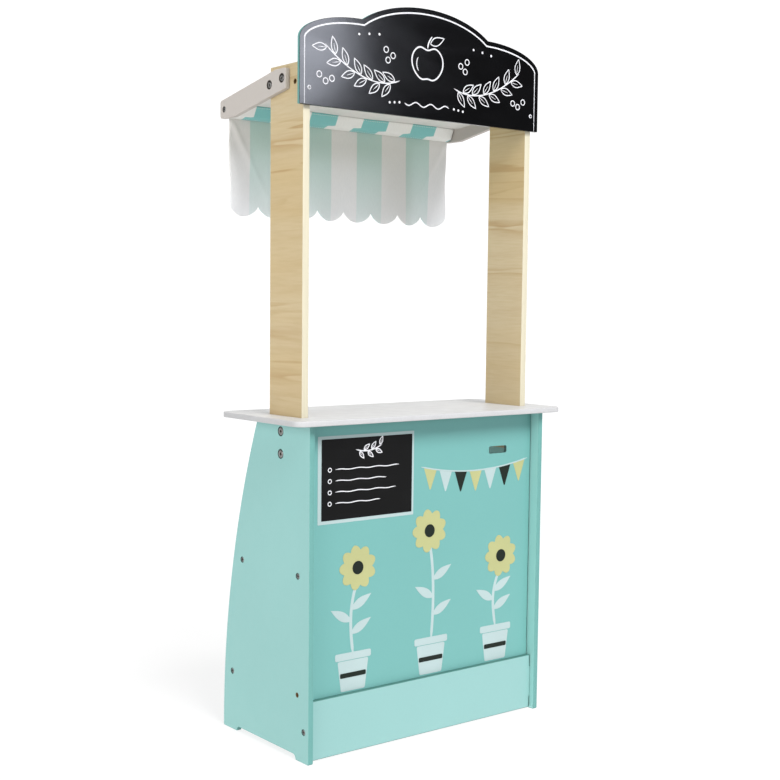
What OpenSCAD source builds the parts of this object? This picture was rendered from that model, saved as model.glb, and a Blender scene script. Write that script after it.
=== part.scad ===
// A child's wooden market stall: a cabinet with curved sides and a counter, two posts,
// an arched sign for the customers and a striped cloth awning over the shopkeeper.
// Millimetres. +Z is up and +Y points from the customers' side to the shopkeeper's side.
// The origin is on the floor, in the middle of the stall's footprint box.
// A depth is measured backwards from the front edges of the side panels.

/* [Cabinet] */
// Width over the two side panels
cabinet_w = 500; // [420:1:620]
// Height of the side panels, up to the underside of the counter
cabinet_h = 536; // [460:1:640]
// Depth of a side panel at the floor
base_d = 255; // [235:1:300]
// Depth of a side panel under the counter
top_d = 150; // [140:1:190]
// Thickness of the side panels, the plinth and the shelves
board_t = 9; // [7:0.5:14]
// Length of the foot at the front edge of a side panel
front_foot = 36; // [24:1:60]
// Length of the foot at the rear edge of a side panel
rear_foot = 42; // [24:1:60]
// Height of the cut-out between the two feet
foot_cut = 8; // [4:0.5:12]

/* [Front] */
// Thickness of the front panel
front_t = 6; // [4:0.5:9]
// How far the plinth stands back from the front edges of the side panels
plinth_setback = 10; // [4:0.5:16]
// Gap between the plinth and the floor
plinth_lift = 2; // [1:0.5:8]
// Height of the plinth board
plinth_h = 96; // [70:1:120]
// Height of the relief at the upper and lower corners of the plinth's ends
plinth_relief_h = 20; // [10:1:30]
// How far each relief keeps the plinth's corner off the side panel
plinth_relief = 2; // [0.5:0.5:4]
// How far the front panel runs down behind the plinth
front_lap = 30; // [15:1:50]
// Gap between the front panel and each side panel
front_gap = 1; // [0.4:0.1:2]
// Length of the coin slot in the front panel
slot_w = 41; // [25:1:70]
// Height of the coin slot
slot_h = 12; // [8:0.5:16]
// Radius of the coin slot's corners
slot_round = 3; // [1:0.5:3.5]
// Sideways place of the coin slot's middle
slot_x = 161; // [100:1:175]
// Distance from the counter down to the coin slot's middle
slot_drop = 63; // [40:1:120]

/* [Shelves] */
// Height of the bottom shelf's underside
bottom_shelf_z = 96; // [80:1:140]
// Height of the middle shelf's underside
middle_shelf_z = 292; // [220:1:340]
// How far the shelves stay inside the curved rear edges of the side panels
shelf_inset = 12; // [6:1:30]

/* [Counter] */
// How far the counter stands out past each side panel
counter_side = 33; // [20:1:50]
// How far the counter stands out past the front edges of the side panels
counter_front = 18; // [8:1:30]
// Depth of the counter
counter_d = 234; // [200:1:280]
// Thickness of the counter
counter_t = 9; // [8:0.5:18]
// Radius of the counter's corners
counter_round = 20; // [8:1:40]

/* [Posts] */
// Depth of a post, from its front edge to its rear edge
post_w = 92; // [80:1:100]
// Thickness of a post
post_t = 12; // [9:0.5:18]
// How far the posts stand back from the front edges of the side panels
post_setback = 36; // [30:1:45]
// Height of the posts' tops above the floor
post_top = 1094; // [950:1:1250]
// Length of the post below the counter, bolted to the side panel
post_tail = 70; // [60:1:110]
// Play round a post in the counter's slot
post_play = 0.5; // [0.2:0.1:1]

/* [Bolts] */
// Diameter of the holes for the connector bolts
bolt_hole = 6.4; // [5:0.1:8]
// Distance from the counter down to the upper bolt of a post
post_bolt_drop = 15; // [12:1:20]
// Distance between the two bolts of a post
post_bolt_pitch = 36; // [25:1:40]
// Distance from an arm's front end to its front bolt
arm_bolt_inset = 10; // [8:1:14]
// Depth between the two bolts of an arm
arm_bolt_pitch = 35; // [25:1:38]
// Diameter of the spare hole near the top of each post
spare_hole = 7.2; // [3:0.1:9]
// Distance from a post's front edge to its spare hole
spare_hole_inset = 23; // [15:1:26]
// Distance from a post's top down to its spare hole
spare_hole_drop = 29; // [20:1:60]

/* [Sign] */
// Thickness of the sign board
sign_t = 6; // [4:0.5:12]
// How far the sign stands out past each side panel
sign_side = 2.5; // [0:0.5:20]
// How far the sign's lower edge lies below the posts' tops
sign_lap = 67; // [40:1:90]
// Height of the sign's straight sides
sign_side_h = 100; // [60:1:140]
// Width of each rounded shoulder
shoulder_w = 120; // [80:1:150]
// Rise of each rounded shoulder
shoulder_h = 42; // [20:1:60]
// Rise of the crown above the shoulders
crown_rise = 34; // [15:1:60]
// How far the crown's ellipse would run on behind each shoulder
crown_tuck = 32; // [10:1:80]

/* [Awning] */
// Thickness of an awning arm
arm_t = 9; // [6:0.5:15]
// Width of an awning arm, across its slope
arm_w = 36; // [30:1:46]
// Slope of the arms, down towards the rear
arm_slope = 10.4; // [4:0.2:16]
// How far the arms start behind the posts' front edges
arm_inset = 37; // [30:1:44]
// How far the arms reach behind the posts
arm_reach = 139; // [110:1:180]
// Distance from the posts' tops down to the front bolts of the arms
arm_drop = 22; // [18:1:40]
// Distance from the posts' tops down to the arms' level upper trim
arm_trim = 7; // [2:1:12]
// Height of an arm's rear end
arm_nose = 29; // [24:1:34]
// Radius of the arm's trimmed corners
arm_round = 4; // [1:0.5:8]
// Diameter of the two dowels that carry the cloth
dowel_dia = 18; // [12:0.5:22]
// Distance from the outer dowel's middle to the arms' rear ends
outer_dowel_inset = 12.5; // [12.5:0.5:30]
// Distance from the posts' rear edges to the upper dowel's middle
upper_dowel_gap = 14; // [13:1:25]
// Thickness of the cloth
cloth_t = 1.2; // [0.8:0.1:2]
// Gap between the cloth and the piece that it lies on
cloth_gap = 0.3; // [0.2:0.1:0.5]
// Gap between the cloth's sides and the arms
cloth_side_gap = 2; // [1:0.5:6]
// How far from a dowel's middle its sleeve is sewn to the cloth
sleeve_lap = 18; // [14:1:26]
// Drop of the valance below the outer dowel's middle
valance_drop = 173; // [120:1:220]
// How far the valance hangs behind the outer dowel's middle
valance_back = 4; // [1:0.5:8]
// Number of scallops along the valance
scallops = 8; // [5:1:12]
// Depth of the scallops
scallop_h = 18; // [8:1:22]

/* [Hidden] */

// Smoothness of small circles, of the side panels' long curve, of the sign's ellipses
// and of the cloth's bends
$fn = 64;
long_curve_fn = 720;
ellipse_steps = 24;
wrap_steps = 16;
// How far a cutter runs past the face that it cuts
cut_past = 1;

teal = [0.64, 0.83, 0.80];
teal_front = [0.53, 0.77, 0.74];
counter_white = [0.90, 0.90, 0.89];
pine = [0.84, 0.73, 0.55];
sign_black = [0.11, 0.11, 0.12];
arm_white = [0.84, 0.82, 0.80];
dowel_wood = [0.88, 0.79, 0.62];
cloth_white = [0.88, 0.90, 0.89];
cloth_mint = [0.42, 0.72, 0.68];

// Cabinet
inner_w = cabinet_w - 2 * board_t;
rear_bulge = base_d - top_d;
rear_radius = (pow(cabinet_h, 2) + pow(rear_bulge, 2)) / (2 * rear_bulge);
plinth_top = plinth_lift + plinth_h;
front_d = plinth_setback + board_t;
front_back_d = front_d + front_t;

// Counter
counter_w = cabinet_w + 2 * counter_side;

// Posts and their bolts
post_back_d = post_setback + post_w;
post_bottom = cabinet_h - post_tail;
post_mid_d = post_setback + post_w / 2;
post_bolts = [for (i = [0, 1]) [post_mid_d, cabinet_h - post_bolt_drop - i * post_bolt_pitch]];
spare_hole_at = [post_setback + spare_hole_inset, post_top - spare_hole_drop];

// Sign
sign_half = cabinet_w / 2 + sign_side;
sign_bottom = post_top - sign_lap;
shoulder_x = sign_half - shoulder_w;
shoulder_z = sign_bottom + sign_side_h;
crown_a = shoulder_x + crown_tuck;
crown_b = crown_rise / (1 - sqrt(1 - pow(shoulder_x / crown_a, 2)));
crown_z = shoulder_z + shoulder_h + crown_rise - crown_b;
crown_start = acos(shoulder_x / crown_a);

// Arms: a middle line that slopes down to the rear through both bolts and the upper dowel
arm_front_d = post_setback + arm_inset;
arm_rear_d = post_back_d + arm_reach;
arm_length = arm_rear_d - arm_front_d;
arm_bolt_d = arm_front_d + arm_bolt_inset;
arm_bolts = [for (i = [0, 1]) on_arm(arm_bolt_d + i * arm_bolt_pitch)];
arm_half_h = arm_w / 2 / cos(arm_slope);
arm_level_top = post_top - arm_trim;
arm_level_bottom = on_arm(arm_rear_d).y + arm_half_h - arm_nose;

// Dowels and cloth
upper_centre = on_arm(post_back_d + upper_dowel_gap);
outer_centre = [arm_rear_d - outer_dowel_inset, arm_level_bottom + arm_nose / 2];
wrap_in = dowel_dia / 2 + cloth_gap;
wrap_out = wrap_in + cloth_t;
cloth_w = inner_w - 2 * cloth_side_gap;
uphill = (upper_centre - outer_centre) / norm(upper_centre - outer_centre);
roof_angle = atan2(-uphill.x, uphill.y);
valance_bottom = outer_centre.y - valance_drop;
scallop_w = cloth_w / scallops;
scallop_r = (pow(scallop_w / 2, 2) + pow(scallop_h, 2)) / (2 * scallop_h);

// Middle of the footprint box, as a depth
rear_most = max(arm_rear_d, base_d, counter_d - counter_front);
origin_d = (rear_most - counter_front) / 2;

// Point on the arms' middle line at a depth, as [depth, height]
function on_arm(d) = [d, post_top - arm_drop - (d - arm_bolt_d) * tan(arm_slope)];

// Depth of the side panels' curved rear edge at a height
function rear_edge(z) = base_d - rear_radius + sqrt(pow(rear_radius, 2) - pow(z, 2));

// Unit vector at an angle
function ray(a) = [cos(a), sin(a)];

// Angle from a centre to the point where a line from p touches a circle round it; side is 1 or -1
function touch_angle(p, centre, r, side) =
    atan2(p.y - centre.y, p.x - centre.x) + side * acos(r / norm(p - centre));

// Points of a cloth's face at radius r round a dowel, from one angle to a larger one
function round_dowel(centre, r, from, to) =
    [for (i = [0 : wrap_steps]) centre + r * ray(from + (to - from) * i / wrap_steps)];

// Point just under the roof's cloth, the given distance uphill of a dowel's middle
function under_roof(centre, distance) =
    centre + (wrap_in - cloth_gap) * ray(roof_angle) + distance * uphill;

// Points in the opposite order
function reversed(points) = [for (i = [len(points) - 1 : -1 : 0]) points[i]];

// Points on an ellipse's arc from one angle to another
function ellipse_arc(centre, a, b, from, to) =
    [for (i = [0 : ellipse_steps])
        let (t = from + (to - from) * i / ellipse_steps)
        centre + [a * cos(t), b * sin(t)]];

// Points without the first and the last one
function inner_points(points) = [for (i = [1 : len(points) - 2]) points[i]];

// The sign's outline: straight sides, a rounded shoulder at each side and a crown between them
function sign_outline() = concat(
    [[sign_half, sign_bottom]],
    ellipse_arc([shoulder_x, shoulder_z], shoulder_w, shoulder_h, 0, 90),
    inner_points(ellipse_arc([0, crown_z], crown_a, crown_b, crown_start, 180 - crown_start)),
    ellipse_arc([-shoulder_x, shoulder_z], shoulder_w, shoulder_h, 90, 180),
    [[-sign_half, sign_bottom]]);

// Stands a side view, drawn as [depth, height], up at x with thickness t
module upright(x, t) {
    translate([x, -origin_d, 0])
        rotate([90, 0, 90])
            linear_extrude(t)
                children();
}

// Stands a front view, drawn as [x, height], up with its front face at depth d
module across(d, t) {
    translate([0, d - origin_d + t, 0])
        rotate([90, 0, 0])
            linear_extrude(t)
                children();
}

// Lays a plan, drawn as [x, depth], with its underside at height z
module level(z, t) {
    translate([0, -origin_d, z])
        linear_extrude(t)
            children();
}

// Makes the second piece of a pair on the other side of the stall
module other_side() {
    mirror([1, 0, 0])
        children();
}

// Rectangle with round corners, from its lower left corner
module round_rect(size, r) {
    translate([r, 0])
        square([size.x - 2 * r, size.y]);
    translate([0, r])
        square([size.x, size.y - 2 * r]);
    for (x = [r, size.x - r], y = [r, size.y - r])
        translate([x, y])
            circle(r);
}

// Round holes at a list of places in a flat view
module holes(places, d) {
    for (p = places)
        translate(p)
            circle(d = d);
}

// Band of cloth between its two faces, each a row of points
module band(faces) {
    polygon(concat(faces[0], reversed(faces[1])));
}

// Side view of a side panel, with its curved rear edge and its two feet
module side_panel_view() {
    difference() {
        intersection() {
            square([base_d, cabinet_h]);
            translate([base_d - rear_radius, 0])
                circle(rear_radius, $fn = long_curve_fn);
        }
        for (d = [front_foot + foot_cut, base_d - rear_foot - foot_cut])
            translate([d, 0])
                circle(foot_cut);
        translate([front_foot + foot_cut, -cut_past])
            square([base_d - rear_foot - front_foot - 2 * foot_cut, foot_cut + cut_past]);
        holes(post_bolts, bolt_hole);
    }
}

module left_side_panel() {
    color(teal)
        upright(-cabinet_w / 2, board_t)
            side_panel_view();
}

module right_side_panel() {
    color(teal)
        other_side()
            left_side_panel();
}

module front_panel() {
    color(teal_front)
        across(front_d, front_t)
            difference() {
                translate([front_gap - inner_w / 2, plinth_top - front_lap])
                    square([inner_w - 2 * front_gap, cabinet_h - plinth_top + front_lap]);
                translate([slot_x - slot_w / 2, cabinet_h - slot_drop - slot_h / 2])
                    round_rect([slot_w, slot_h], slot_round);
            }
}

// The plinth's ends meet the side panels only between the reliefs at their corners
module plinth_board() {
    color(teal)
        across(plinth_setback, board_t)
            translate([-inner_w / 2, plinth_lift]) {
                translate([plinth_relief, 0])
                    square([inner_w - 2 * plinth_relief, plinth_h]);
                translate([0, plinth_relief_h])
                    square([inner_w, plinth_h - 2 * plinth_relief_h]);
            }
}

// Level board between the side panels, from the front panel to just inside the curved rear edges
module shelf(z) {
    color(teal)
        level(z, board_t)
            translate([-inner_w / 2, front_back_d])
                square([inner_w, rear_edge(z + board_t) - shelf_inset - front_back_d]);
}

module bottom_shelf() {
    shelf(bottom_shelf_z);
}

module middle_shelf() {
    shelf(middle_shelf_z);
}

module counter_top() {
    color(counter_white)
        level(cabinet_h, counter_t)
            difference() {
                translate([-counter_w / 2, -counter_front])
                    round_rect([counter_w, counter_d], counter_round);
                for (x = [-inner_w / 2, inner_w / 2 - post_t])
                    translate([x - post_play, post_setback - post_play])
                        square([post_t + 2 * post_play, post_w + 2 * post_play]);
            }
}

module left_post() {
    color(pine)
        upright(-inner_w / 2, post_t)
            difference() {
                translate([post_setback, post_bottom])
                    square([post_w, post_top - post_bottom]);
                holes(post_bolts, bolt_hole);
                holes(arm_bolts, bolt_hole);
                holes([spare_hole_at], spare_hole);
            }
}

module right_post() {
    other_side()
        left_post();
}

module sign_board() {
    color(sign_black)
        across(post_setback - sign_t, sign_t)
            polygon(sign_outline());
}

// Side view of an arm: a sloping board, trimmed level on top in front and below at the rear
module arm_view() {
    slope_drop = arm_length * tan(arm_slope);
    front_mid = on_arm(arm_front_d).y;
    difference() {
        intersection() {
            polygon([
                [arm_front_d, front_mid - arm_half_h],
                [arm_front_d, front_mid + arm_half_h],
                [arm_rear_d, front_mid + arm_half_h - slope_drop],
                [arm_rear_d, front_mid - arm_half_h - slope_drop]]);
            translate([arm_front_d, arm_level_bottom])
                round_rect([arm_length, arm_level_top - arm_level_bottom], arm_round);
        }
        holes(arm_bolts, bolt_hole);
    }
}

module left_awning_arm() {
    color(arm_white)
        upright(-inner_w / 2 - arm_t, arm_t)
            arm_view();
}

module right_awning_arm() {
    other_side()
        left_awning_arm();
}

// Round rod between the inner faces of the two arms
module dowel(centre) {
    color(dowel_wood)
        upright(-inner_w / 2, inner_w)
            translate(centre)
                circle(d = dowel_dia);
}

module upper_dowel() {
    dowel(upper_centre);
}

module outer_dowel() {
    dowel(outer_centre);
}

// Side view of the cloth: the valance, the bend, the roof and a sleeve round the upper dowel
module awning_cloth_view() {
    hem = under_roof(upper_centre, -sleeve_lap);
    hem_angle = touch_angle(hem, upper_centre, wrap_in, -1) + 360;
    band([for (r = [wrap_in, wrap_out])
        let (back = valance_back + r - wrap_in)
        concat(
            [[outer_centre.x + back, valance_bottom]],
            round_dowel(outer_centre, r, -acos(back / r), roof_angle),
            round_dowel(upper_centre, r, roof_angle, hem_angle),
            [hem + (r - wrap_in) * ray(hem_angle)])]);
}

// Front view that trims the valance's lower edge into a row of scallops
module scallop_view() {
    cusp_z = valance_bottom + scallop_h;
    translate([-cloth_w / 2, cusp_z])
        square([cloth_w, post_top - cusp_z]);
    intersection() {
        for (i = [0 : scallops - 1])
            translate([(i + 0.5) * scallop_w - cloth_w / 2, valance_bottom + scallop_r])
                circle(scallop_r);
        translate([-cloth_w / 2, valance_bottom])
            square([cloth_w, 2 * scallop_r]);
    }
}

module awning_cloth() {
    color(cloth_white)
        intersection() {
            upright(-cloth_w / 2, cloth_w)
                awning_cloth_view();
            across(post_setback, arm_rear_d)
                scallop_view();
        }
}

// Strip of cloth sewn under the roof, which holds the outer dowel against the bend
module outer_dowel_sleeve() {
    hem = under_roof(outer_centre, sleeve_lap);
    hem_angle = touch_angle(hem, outer_centre, wrap_in, 1);
    color(cloth_mint)
        upright(-cloth_w / 2, cloth_w)
            band([for (r = [wrap_in, wrap_out]) concat(
                [hem + (r - wrap_in) * ray(hem_angle)],
                round_dowel(outer_centre, r, hem_angle, 270),
                [[outer_centre.x + valance_back - cloth_gap, outer_centre.y - r]])]);
}

left_side_panel();
right_side_panel();
front_panel();
plinth_board();
bottom_shelf();
middle_shelf();
counter_top();
left_post();
right_post();
sign_board();
left_awning_arm();
right_awning_arm();
upper_dowel();
outer_dowel();
awning_cloth();
outer_dowel_sleeve();
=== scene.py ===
# %% [markdown]
# # A child's wooden market stall
# The stall is a toy made of flat boards: a cabinet with curved sides, a counter, two posts, an
# arched sign and a cloth awning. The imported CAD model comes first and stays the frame. Every piece
# made below takes its place and size from a CAD node, so nothing has to be fitted afterwards.

import bpy
import numpy as np
from mathutils import Matrix, Vector
from mathutils.geometry import tessellate_polygon


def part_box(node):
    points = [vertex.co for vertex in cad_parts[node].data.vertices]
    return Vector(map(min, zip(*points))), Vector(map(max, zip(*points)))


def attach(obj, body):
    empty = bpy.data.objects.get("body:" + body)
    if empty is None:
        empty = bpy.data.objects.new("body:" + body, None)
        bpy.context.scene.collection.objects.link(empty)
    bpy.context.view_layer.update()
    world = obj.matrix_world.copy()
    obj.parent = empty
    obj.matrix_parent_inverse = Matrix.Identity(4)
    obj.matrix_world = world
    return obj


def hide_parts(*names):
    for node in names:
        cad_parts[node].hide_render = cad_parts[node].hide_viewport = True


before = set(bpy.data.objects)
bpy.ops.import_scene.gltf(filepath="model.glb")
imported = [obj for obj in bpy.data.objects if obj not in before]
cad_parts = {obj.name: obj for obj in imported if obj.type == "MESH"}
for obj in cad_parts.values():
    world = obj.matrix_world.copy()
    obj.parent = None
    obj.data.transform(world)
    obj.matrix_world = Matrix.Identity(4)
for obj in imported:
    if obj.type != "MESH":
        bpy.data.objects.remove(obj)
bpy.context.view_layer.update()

# %% [markdown]
# ## Units and places
# Furniture is drawn in millimetres and Blender counts in metres. The shapes below are worked out in
# millimetres, because a board of 9 is easier to read than one of 0.009, and they become metres in
# one place, when the points go into a mesh. Depths run backwards from the side panels' front edges.

# %% Boxes of the CAD nodes
MM = 0.001


def box(node):
    """Lowest and highest corner of a CAD node in millimetres, as two rows of x, y and z."""
    return np.array([list(corner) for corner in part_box(node)]) / MM


side_low, side_high = box("left_side_panel")
front_y = side_low[1]
print("side panel:", np.round(side_high - side_low, 1), "front edge at y", round(front_y, 1))

# %% [markdown]
# ## Camera
# The stall stands at an angle to the viewer, seen from its left front corner and from a little above
# the counter. A camera can be placed by eye, or worked out from edges whose real sizes are known.
# This one was worked out, so its place, its angles and its lens are exact numbers. The small shift
# belongs to the picture's framing.

# %% Place the camera
camera_place = (-1.3984, -1.7772, 0.7270)
camera_yaw, camera_pitch, camera_roll = -0.6662, -0.0824, 0.0105

ahead = np.array([-np.sin(camera_yaw) * np.cos(camera_pitch),
                  np.cos(camera_yaw) * np.cos(camera_pitch),
                  np.sin(camera_pitch)])
level_right = np.array([np.cos(camera_yaw), np.sin(camera_yaw), 0])
level_up = np.cross(level_right, ahead)
right = np.cos(camera_roll) * level_right + np.sin(camera_roll) * level_up
up = np.cos(camera_roll) * level_up - np.sin(camera_roll) * level_right

lens = bpy.data.cameras.new("camera")
lens.sensor_width = 36
lens.lens = 60.65
lens.shift_x, lens.shift_y = 0.00313, 0.02639
camera = bpy.data.objects.new("camera", lens)
bpy.context.scene.collection.objects.link(camera)
camera.matrix_world = Matrix.Translation(camera_place) @ Matrix(
    np.stack([right, up, -ahead], 1).tolist()).to_4x4()
bpy.context.scene.camera = camera
print("camera looks along", np.round(ahead, 3))

# %% [markdown]
# ## Light
# A product picture has soft light from large lamps, a bright backdrop and a dimmer room in front. Lamps
# of a real size fade with distance and would leave the far floor grey, so the soft boxes are suns with
# a wide disc, which light the floor evenly. The main one stands high in front, so the counter throws a
# shade on the panel below it. A narrow strip light stands low on the right, where the glossy black sign
# mirrors its edge. The room gives little light, but where the camera looks past the stall it is white.

# %% Suns and a dim white room
scene = bpy.context.scene
scene.view_settings.view_transform = "Standard"

WHITE = (1.0, 1.0, 1.0, 1.0)
room_light, room_white = 0.2, 1.05
room = bpy.data.worlds.new("white_room")
room.use_nodes = True
background = room.node_tree.nodes["Background"]
background.inputs["Color"].default_value = WHITE
ray = room.node_tree.nodes.new("ShaderNodeLightPath")
glow = room.node_tree.nodes.new("ShaderNodeMapRange")
glow.inputs["To Min"].default_value = room_light
glow.inputs["To Max"].default_value = room_white
room.node_tree.links.new(ray.outputs["Is Camera Ray"], glow.inputs["Value"])
room.node_tree.links.new(glow.outputs["Result"], background.inputs["Strength"])
scene.world = room


def soft_sun(name, azimuth, height, width, strength, colour=WHITE[:3]):
    """A sun whose disc is width degrees across, seen at an azimuth to the right of the front and at
    a height above the horizon, both in degrees."""
    a, h = np.radians([azimuth, height])
    towards = Vector((np.sin(a) * np.cos(h), -np.cos(a) * np.cos(h), np.sin(h)))
    light = bpy.data.lights.new(name, "SUN")
    light.angle = np.radians(width)
    light.energy, light.color = strength, colour
    lamp = bpy.data.objects.new(name, light)
    lamp.rotation_mode = "QUATERNION"
    lamp.rotation_quaternion = towards.to_track_quat("Z", "Y")
    scene.collection.objects.link(lamp)
    return lamp


suns = [soft_sun("front_soft_box", -2, 45, 27, 3.5),
        soft_sun("side_strip_light", 33.0, 10.8, 6.5, 0.34, (0.84, 0.88, 1.0)),
        soft_sun("top_soft_box", -20, 75, 50, 0.3),
        soft_sun("left_soft_box", -77, 13, 40, 1.8)]
print("lamps:", [lamp.name for lamp in suns])

# %% [markdown]
# ## Meshes from arrays
# A mesh is a list of points and a list of faces that name points by number. Both are easy to write
# as arrays: a grid of points has rows and columns, and each of its faces joins four neighbours. A
# piece is often several patches, such as two faces and the wall between them, so a small collector
# keeps count of the points and remembers each patch's finish.


# %% Collect patches and make a piece
class Shell:
    """The patches of one closed shape: points, faces, and each face's finish and smoothness."""

    def __init__(self):
        self.points, self.wear, self.faces, self.finish, self.smooth = [], [], [], [], []
        self.count = 0

    def add_points(self, points, wear=0.0):
        """Adds points and returns their numbers, in the shape that the points came in."""
        shape = points.shape[:-1]
        size = int(np.prod(shape))
        self.points.append(points.reshape(-1, 3))
        self.wear.append(np.broadcast_to(wear, shape).reshape(-1))
        numbers = self.count + np.arange(size).reshape(shape)
        self.count += size
        return numbers

    def add_faces(self, faces, finish=0, smooth=True):
        """Adds faces that are rows of point numbers."""
        faces = np.asarray(faces).tolist()
        self.faces += faces
        self.finish += [finish] * len(faces)
        self.smooth += [smooth] * len(faces)

    def add_shells(self, *others):
        """Adds the patches of other shells."""
        for other in others:
            self.points += other.points
            self.wear += other.wear
            self.faces += [[n + self.count for n in face] for face in other.faces]
            self.finish += other.finish
            self.smooth += other.smooth
            self.count += other.count

    def moved(self, axes, origin=(0, 0, 0)):
        """The same shell in other axes, whose rows say where the old three point; a left-handed set
        of axes also turns the faces round."""
        made, axes = Shell(), np.asarray(axes, float)
        made.points = [points @ axes + np.asarray(origin, float) for points in self.points]
        made.faces = [face[::-1] for face in self.faces] if np.linalg.det(axes) < 0 else self.faces
        made.count, made.wear = self.count, self.wear
        made.finish, made.smooth = self.finish, self.smooth
        return made


def quads(numbers, around=False):
    """Faces of a grid of point numbers: each joins a point, the next one in its row and the same two
    in the next row. around also joins each row's end to its start."""
    beyond = np.roll(numbers, -1, 1) if around else numbers[:, 1:]
    here = numbers if around else numbers[:, :-1]
    return np.stack([here[:-1], beyond[:-1], beyond[1:], here[1:]], -1).reshape(-1, 4)


def add_piece(name, shell, finishes, stands_for=()):
    """Makes a mesh object from a shell given in millimetres, fixed to the stall's one body. stands_for
    names the CAD nodes that it replaces."""
    mesh = bpy.data.meshes.new(name)
    mesh.from_pydata((np.concatenate(shell.points) * MM).tolist(), [], shell.faces)
    for finish in finishes:
        mesh.materials.append(finish)
    mesh.polygons.foreach_set("material_index", shell.finish)
    mesh.polygons.foreach_set("use_smooth", shell.smooth)
    # The rub-and-highlight number goes to the mesh; the edge paint turns pale by it, partly as a painted
    # highlight.
    mesh.attributes.new("wear", "FLOAT", "POINT").data.foreach_set(
        "value", np.concatenate(shell.wear).astype(np.float32))
    piece = bpy.data.objects.new(name, mesh)
    scene.collection.objects.link(piece)
    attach(piece, "root")
    if stands_for:
        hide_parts(*stands_for)
    print(name, "has", len(shell.faces), "faces")
    return piece


print("ready to collect patches")

# %% [markdown]
# ## Outlines
# Every board starts as a closed outline in a flat view. Corners of a real board are never quite
# sharp, because they are sanded before painting. So an outline is given by its corners and a radius
# for each, and every corner is turned into a short arc. Long curves are points on an ellipse.


# %% Arcs and softened corners
def unit(vectors):
    """Vectors of length 1 in the same directions."""
    return vectors / np.maximum(np.linalg.norm(vectors, axis=-1, keepdims=True), 1e-12)


def arc(centre, radii, start, end, steps):
    """Points on an ellipse: the centre plus the radii times the cosine and sine of evenly spaced
    angles from start to end, in degrees."""
    turn = np.radians(np.linspace(start, end, steps + 1))
    return np.asarray(centre) + np.asarray(radii) * np.stack([np.cos(turn), np.sin(turn)], 1)


def circle(centre, radius, steps=32):
    """A closed ring of points on a circle."""
    return arc(centre, (radius, radius), 0, 360, steps)[:-1]


def soften(corners, radii, steps=5):
    """Closed outline whose corners are arcs that touch both edges. An arc's centre lies on the corner's
    bisector, at the radius divided by the sine of half the corner's angle, and its points blend the
    two end directions. A radius of 0 keeps the corner, and repeated points are dropped."""
    p = np.asarray(corners, float)
    radius = np.broadcast_to(np.asarray(radii, float), len(p))[:, None]
    back, on = unit(np.roll(p, 1, 0) - p), unit(np.roll(p, -1, 0) - p)
    half = np.maximum(np.arccos(np.clip((back * on).sum(1, keepdims=True), -1, 1)) / 2, 1e-6)
    centre = p + unit(back + on) * radius / np.sin(half)
    start = p + back * radius / np.tan(half) - centre
    end = p + on * radius / np.tan(half) - centre
    turn = (np.pi - 2 * half)[:, None]
    share = np.linspace(0, 1, steps + 1)[None, :, None]
    blend = np.sin((1 - share) * turn) * start[:, None] + np.sin(share * turn) * end[:, None]
    points = (centre[:, None] + blend / np.maximum(np.sin(turn), 1e-9)).reshape(-1, 2)
    return points[np.linalg.norm(points - np.roll(points, 1, 0), axis=1) > 1e-5]


def rectangle(low, high, radius):
    """Closed rectangle with softened corners, from its lowest and highest corner."""
    return soften([low, (high[0], low[1]), high, (low[0], high[1])], radius)


print("a softened square has", len(rectangle((0, 0), (10, 10), 1)), "points")

# %% [markdown]
# ## Boards
# A board is an outline with a thickness. Extruding it and adding a Bevel modifier would do, but the
# modifier struggles where long curves meet holes. Here the rounded edge is a profile carried along
# the outline: each station of the profile moves the outline inwards by a little and back by a little.
# A rub-and-highlight number, highest in the middle of each rounding, tells the paint where hands rub it
# and where it carries a painted highlight along the arris.

# %% Carry an edge profile round an outline
STANDING_SIDE = np.array([[0, 1, 0], [0, 0, 1], [1, 0, 0]])
STANDING_FRONT = np.array([[1, 0, 0], [0, 0, 1], [0, -1, 0]])
OTHER_SIDE = np.diag([-1, 1, 1])
FACE_LOW, EDGE, FACE_HIGH, PIT, BARE = range(5)


def walls(loop, stations):
    """Rings of points, one per station of (inset, depth). Each ring is the loop moved to its left by
    the inset: a point moves along the sum of the normals of its two edges, divided by one plus their
    dot product, so that both edges move by the full inset."""
    ahead = unit(np.roll(loop, -1, 0) - loop)
    normal = np.stack([-ahead[:, 1], ahead[:, 0]], 1)
    before = np.roll(normal, 1, 0)
    inwards = (normal + before) / (1 + (normal * before).sum(1, keepdims=True))
    flat = loop + stations[:, :1, None] * inwards
    depth = np.broadcast_to(stations[:, 1, None, None], (*flat.shape[:2], 1))
    return np.concatenate([flat, depth], 2)


def cap(shell, rings, upwards, finish):
    """Fills the flat face inside the first ring and outside the others with triangles."""
    numbers = np.concatenate([ring for ring, _ in rings])
    loops = [[Vector((*p[:2], 0)) for p in points] for _, points in rings]
    triangles = np.array(tessellate_polygon(loops))
    flat = np.concatenate([points for _, points in rings])[:, :2][triangles]
    one, two = flat[:, 1] - flat[:, 0], flat[:, 2] - flat[:, 0]
    wrong = (one[:, 0] * two[:, 1] - one[:, 1] * two[:, 0] > 0) != upwards
    triangles[wrong] = triangles[wrong][:, ::-1]
    shell.add_faces(numbers[triangles], finish, smooth=False)


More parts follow.
